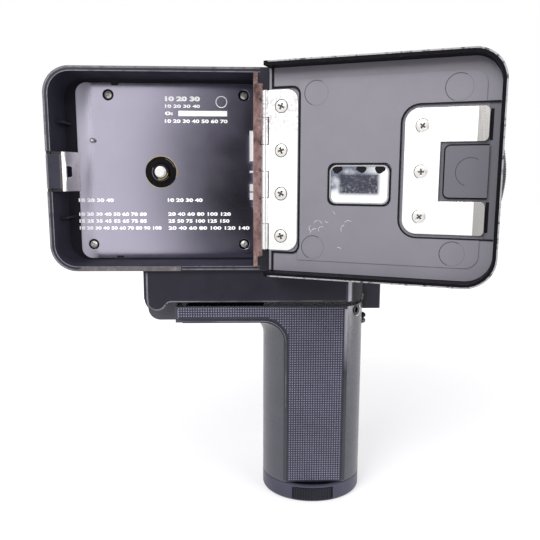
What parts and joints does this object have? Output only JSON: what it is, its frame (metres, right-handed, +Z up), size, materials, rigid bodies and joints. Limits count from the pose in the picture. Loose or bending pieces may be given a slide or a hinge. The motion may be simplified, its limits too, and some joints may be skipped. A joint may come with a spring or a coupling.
{
  "type": "movie camera",
  "caption": "Hand-held cartridge film camera on an L-shaped grip, with its film door open over the lens and the film compartment in view.",
  "frame": {"origin": "centre of the grip's foot, on the standing surface, at the mouth of the tripod socket", "axes": "+X towards the scene along the lens, +Y to the camera's left, away from the film door, +Z up"},
  "size_m": [0.2183, 0.1079, 0.219],
  "materials": {
    "body_black": "satin black paint on a die casting, worn at the edges",
    "cover_black": "satin black paint",
    "screw_steel": "bright cross-head screws",
    "keel_black": "satin black",
    "hook_black": "blackened steel",
    "grip_black": "smooth satin black moulding",
    "panel_black": "black panel with raised dots",
    "cap_black": "satin black",
    "tab_grey": "serrated dark grey",
    "bush_brass": "threaded insert",
    "cell_can": "printed sleeve round a metal can",
    "contact_metal": "plated contacts on a carrier",
    "pin_steel": "ground steel",
    "trigger_black": "black",
    "run_grey": "grey",
    "socket_black": "blackened collar with a bright mouth",
    "floor_lavender": "satin grey with a violet cast",
    "bezel_black": "gloss black",
    "spindle_steel": "bright turned tip",
    "gear_plastic": "moulded natural nylon",
    "gate_steel": "polished film contact faces",
    "feeler_black": "black",
    "foam": "perished red-brown foam strip",
    "spring_steel": "sprung sheet",
    "catch_steel": "blackened steel with a bare outer face",
    "hinge_zinc": "zinc plated, dulled",
    "door_black": "satin black outside, worn rim",
    "liner_grey": "mid grey fine texture",
    "plate_steel": "bright sprung sheet",
    "window_clear": "clear pane with a bevelled frame",
    "pull_chrome": "bright knurled bow",
    "lens_black": "black anodised",
    "lens_ring": "black anodised, ribbed",
    "glass_front": "coated glass",
    "glass_rear": "coated glass",
    "lever_chrome": "chromed lever",
    "finder_black": "black anodised",
    "ring_black": "black anodised, knurled",
    "eyecup_rubber": "black rubber",
    "dial_black": "black with plain white numbers",
    "rocker_black": "black",
    "shoe_steel": "bright sheet metal",
    "shaft_steel": "turned steel",
    "pinion_brass": "cut brass",
    "motor_can": "zinc plated can",
    "shutter_black": "blackened steel",
    "chassis_plate": "stamped plate"
  },
  "bodies": {
    "camera": {"body_shell": "body_black", "front_housing": "body_black", "left_cover": "cover_black", "cover_screws": "screw_steel", "keel": "keel_black", "floor_plate": "floor_lavender", "floor_screws": "screw_steel", "spindle_bezel": "bezel_black", "film_gate": "gate_steel", "light_seal": "foam", "cartridge_spring": "spring_steel", "body_hinge_leaf": "hinge_zinc", "hinge_pin": "pin_steel", "lens_barrel": "lens_black", "filter_ring": "lens_black", "front_lens": "glass_front", "rear_lens": "glass_rear", "lens_group": "glass_rear", "finder_tube": "finder_black", "eyecup": "eyecup_rubber", "eyepiece_lens": "glass_rear", "accessory_shoe": "shoe_steel", "drive_motor": "motor_can", "mechanism_plate": "chassis_plate", "pivot_pin": "pin_steel"},
    "grip": {"grip_shell": "grip_black", "grip_panels": "panel_black", "battery_cells": "cell_can", "contact_plate": "contact_metal", "release_socket": "socket_black"},
    "cap": {"battery_cap": "cap_black", "cap_thumb_tab": "tab_grey", "tripod_bush": "bush_brass"},
    "door": {"door_shell": "door_black", "door_panel": "liner_grey", "door_hinge_leaf": "hinge_zinc", "pressure_plate": "plate_steel", "door_screws": "screw_steel", "door_window": "window_clear", "finger_pull": "pull_chrome"},
    "hook": {"latch_hook": "hook_black"},
    "trigger": {"trigger_button": "trigger_black"},
    "run": {"run_button": "run_grey"},
    "take_up": {"drive_spindle": "spindle_steel", "takeup_gear": "gear_plastic"},
    "sensing_pin": {"cartridge_pin": "pin_steel"},
    "speed_feeler": {"speed_feeler": "feeler_black"},
    "filter_feeler": {"filter_feeler": "feeler_black"},
    "claw": {"film_claw": "gate_steel"},
    "catch": {"door_catch": "catch_steel"},
    "zoom": {"zoom_ring": "lens_ring", "zoom_lever": "lever_chrome"},
    "focus": {"focus_ring": "lens_ring"},
    "dioptre": {"dioptre_ring": "ring_black"},
    "speed": {"speed_dial": "dial_black"},
    "exposure": {"exposure_dial": "dial_black"},
    "rocker": {"zoom_rocker": "rocker_black"},
    "lay_shaft": {"worm_shaft": "shaft_steel"},
    "pinion": {"motor_pinion": "pinion_brass"},
    "shutter": {"shutter": "shutter_black"}
  },
  "joints": [
    {"name": "door_swing", "type": "hinge", "parent": "camera", "child": "door", "pos_m": [-0.0257, -0.0279, 0.1676], "axis": [0, 0, 1], "range_deg": [-157.4, 2.6]},
    {"name": "grip_swing", "type": "hinge", "parent": "camera", "child": "grip", "pos_m": [-0.0784, 0, 0.1057], "axis": [0, 1, 0], "range_deg": [0, 90]},
    {"name": "latch_release", "type": "hinge", "parent": "camera", "child": "hook", "pos_m": [0.0217, 0, 0.1084], "axis": [0, -1, 0], "range_deg": [0, 35], "stiffness_Nm_per_rad": 0.02},
    {"name": "trigger_press", "type": "slide", "parent": "grip", "child": "trigger", "axis": [-1, 0, 0], "range_m": [0, 0.0018], "stiffness_N_per_m": 250},
    {"name": "run_press", "type": "slide", "parent": "grip", "child": "run", "axis": [-1, 0, 0], "range_m": [0, 0.0012], "stiffness_N_per_m": 250},
    {"name": "cap_twist", "type": "hinge", "parent": "grip", "child": "cap", "pos_m": [0, 0, 0.004], "axis": [0, 0, 1], "range_deg": [0, 30]},
    {"name": "shutter_spin", "type": "hinge", "parent": "camera", "child": "shutter", "pos_m": [-0.0156, 0.00491, 0.157], "axis": [1, 0, 0], "continuous": true},
    {"name": "lay_spin", "type": "hinge", "parent": "camera", "child": "lay_shaft", "pos_m": [-0.06, 0.016, 0.1493], "axis": [1, 0, 0], "continuous": true},
    {"name": "motor_spin", "type": "hinge", "parent": "camera", "child": "pinion", "pos_m": [-0.018, 0.016, 0.137], "axis": [1, 0, 0], "continuous": true},
    {"name": "take_up_spin", "type": "hinge", "parent": "camera", "child": "take_up", "pos_m": [-0.0778, 0.01, 0.1673], "axis": [0, 1, 0], "continuous": true},
    {"name": "sensing_pin_press", "type": "slide", "parent": "camera", "child": "sensing_pin", "axis": [0, 1, 0], "range_m": [0, 0.0015], "stiffness_N_per_m": 120},
    {"name": "speed_feeler_press", "type": "slide", "parent": "camera", "child": "speed_feeler", "axis": [1, 0, 0], "range_m": [0, 0.0012], "stiffness_N_per_m": 120},
    {"name": "filter_feeler_press", "type": "slide", "parent": "camera", "child": "filter_feeler", "axis": [1, 0, 0], "range_m": [0, 0.0012], "stiffness_N_per_m": 120},
    {"name": "claw_stroke", "type": "slide", "parent": "camera", "child": "claw", "axis": [0, 0, -1], "range_m": [0, 0.0042]},
    {"name": "catch_release", "type": "slide", "parent": "camera", "child": "catch", "axis": [-1, 0, 0], "range_m": [0, 0.0015], "stiffness_N_per_m": 200},
    {"name": "zoom_turn", "type": "hinge", "parent": "camera", "child": "zoom", "pos_m": [0.0489, -0.008, 0.1675], "axis": [1, 0, 0], "range_deg": [-60, 60]},
    {"name": "focus_turn", "type": "hinge", "parent": "camera", "child": "focus", "pos_m": [0.0609, -0.008, 0.1675], "axis": [1, 0, 0], "range_deg": [-100, 100]},
    {"name": "dioptre_turn", "type": "hinge", "parent": "camera", "child": "dioptre", "pos_m": [-0.1322, 0.0165, 0.1996], "axis": [1, 0, 0], "range_deg": [-45, 45]},
    {"name": "speed_turn", "type": "hinge", "parent": "camera", "child": "speed", "pos_m": [-0.0677, 0.03, 0.15], "axis": [0, 1, 0], "range_deg": [-75, 75]},
    {"name": "exposure_turn", "type": "hinge", "parent": "camera", "child": "exposure", "pos_m": [-0.0357, 0.03, 0.15], "axis": [0, 1, 0], "range_deg": [-120, 120]},
    {"name": "rocker_tilt", "type": "hinge", "parent": "camera", "child": "rocker", "pos_m": [0.0152, 0, 0.2138], "axis": [0, 1, 0], "range_deg": [-6, 6], "stiffness_Nm_per_rad": 0.03}
  ],
  "couplings": [
    {"joint": "lay_spin", "follows": "shutter_spin", "ratio": -0.55172},
    {"joint": "motor_spin", "follows": "shutter_spin", "ratio": 1.3333},
    {"joint": "take_up_spin", "follows": "shutter_spin", "ratio": 0.019704}
  ]
}
